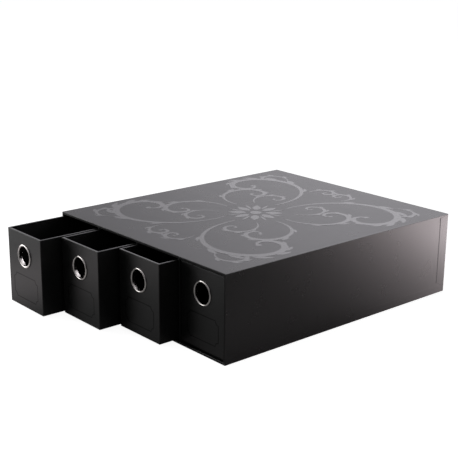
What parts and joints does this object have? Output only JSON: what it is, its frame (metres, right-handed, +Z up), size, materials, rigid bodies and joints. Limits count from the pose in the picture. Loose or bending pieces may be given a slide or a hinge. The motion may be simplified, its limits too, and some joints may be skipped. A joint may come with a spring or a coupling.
{
  "type": "card drawer box",
  "caption": "Rigid black card storage box, open at the front, with long card trays side by side, each pulled by a round metal finger eyelet.",
  "frame": {"origin": "middle of the case's underside, on the surface that it stands on", "axes": "+X to the right along the open front, +Y from the front to the back, +Z up; the drawers pull out along -Y"},
  "size_m": [0.32, 0.4585, 0.105],
  "materials": {
    "case_wrap": "satin",
    "drawer_wrap": "satin",
    "inner_paper": "matte",
    "eyelet_steel": "polished"
  },
  "bodies": {
    "case": {"case_top": "case_wrap", "case_bottom": "case_wrap", "case_left_side": "case_wrap", "case_right_side": "case_wrap", "case_back": "case_wrap", "floor_liner": "inner_paper", "divider_1": "inner_paper", "divider_2": "inner_paper", "divider_3": "inner_paper"},
    "drawer_1": {"drawer_1_front": "drawer_wrap", "drawer_1_back": "drawer_wrap", "drawer_1_left_side": "drawer_wrap", "drawer_1_right_side": "drawer_wrap", "drawer_1_floor": "inner_paper", "drawer_1_eyelet": "eyelet_steel", "drawer_1_eyelet_washer": "eyelet_steel"},
    "drawer_2": {"drawer_2_front": "drawer_wrap", "drawer_2_back": "drawer_wrap", "drawer_2_left_side": "drawer_wrap", "drawer_2_right_side": "drawer_wrap", "drawer_2_floor": "inner_paper", "drawer_2_eyelet": "eyelet_steel", "drawer_2_eyelet_washer": "eyelet_steel"},
    "drawer_3": {"drawer_3_front": "drawer_wrap", "drawer_3_back": "drawer_wrap", "drawer_3_left_side": "drawer_wrap", "drawer_3_right_side": "drawer_wrap", "drawer_3_floor": "inner_paper", "drawer_3_eyelet": "eyelet_steel", "drawer_3_eyelet_washer": "eyelet_steel"},
    "drawer_4": {"drawer_4_front": "drawer_wrap", "drawer_4_back": "drawer_wrap", "drawer_4_left_side": "drawer_wrap", "drawer_4_right_side": "drawer_wrap", "drawer_4_floor": "inner_paper", "drawer_4_eyelet": "eyelet_steel", "drawer_4_eyelet_washer": "eyelet_steel"}
  },
  "joints": [
    {"name": "drawer_1_slide", "type": "slide", "parent": "case", "child": "drawer_1", "axis": [0, -1, 0], "range_m": [-0.0826, 0.2774]},
    {"name": "drawer_2_slide", "type": "slide", "parent": "case", "child": "drawer_2", "axis": [0, -1, 0], "range_m": [-0.055, 0.305]},
    {"name": "drawer_3_slide", "type": "slide", "parent": "case", "child": "drawer_3", "axis": [0, -1, 0], "range_m": [-0.028, 0.332]},
    {"name": "drawer_4_slide", "type": "slide", "parent": "case", "child": "drawer_4", "axis": [0, -1, 0], "range_m": [0, 0.36]}
  ]
}
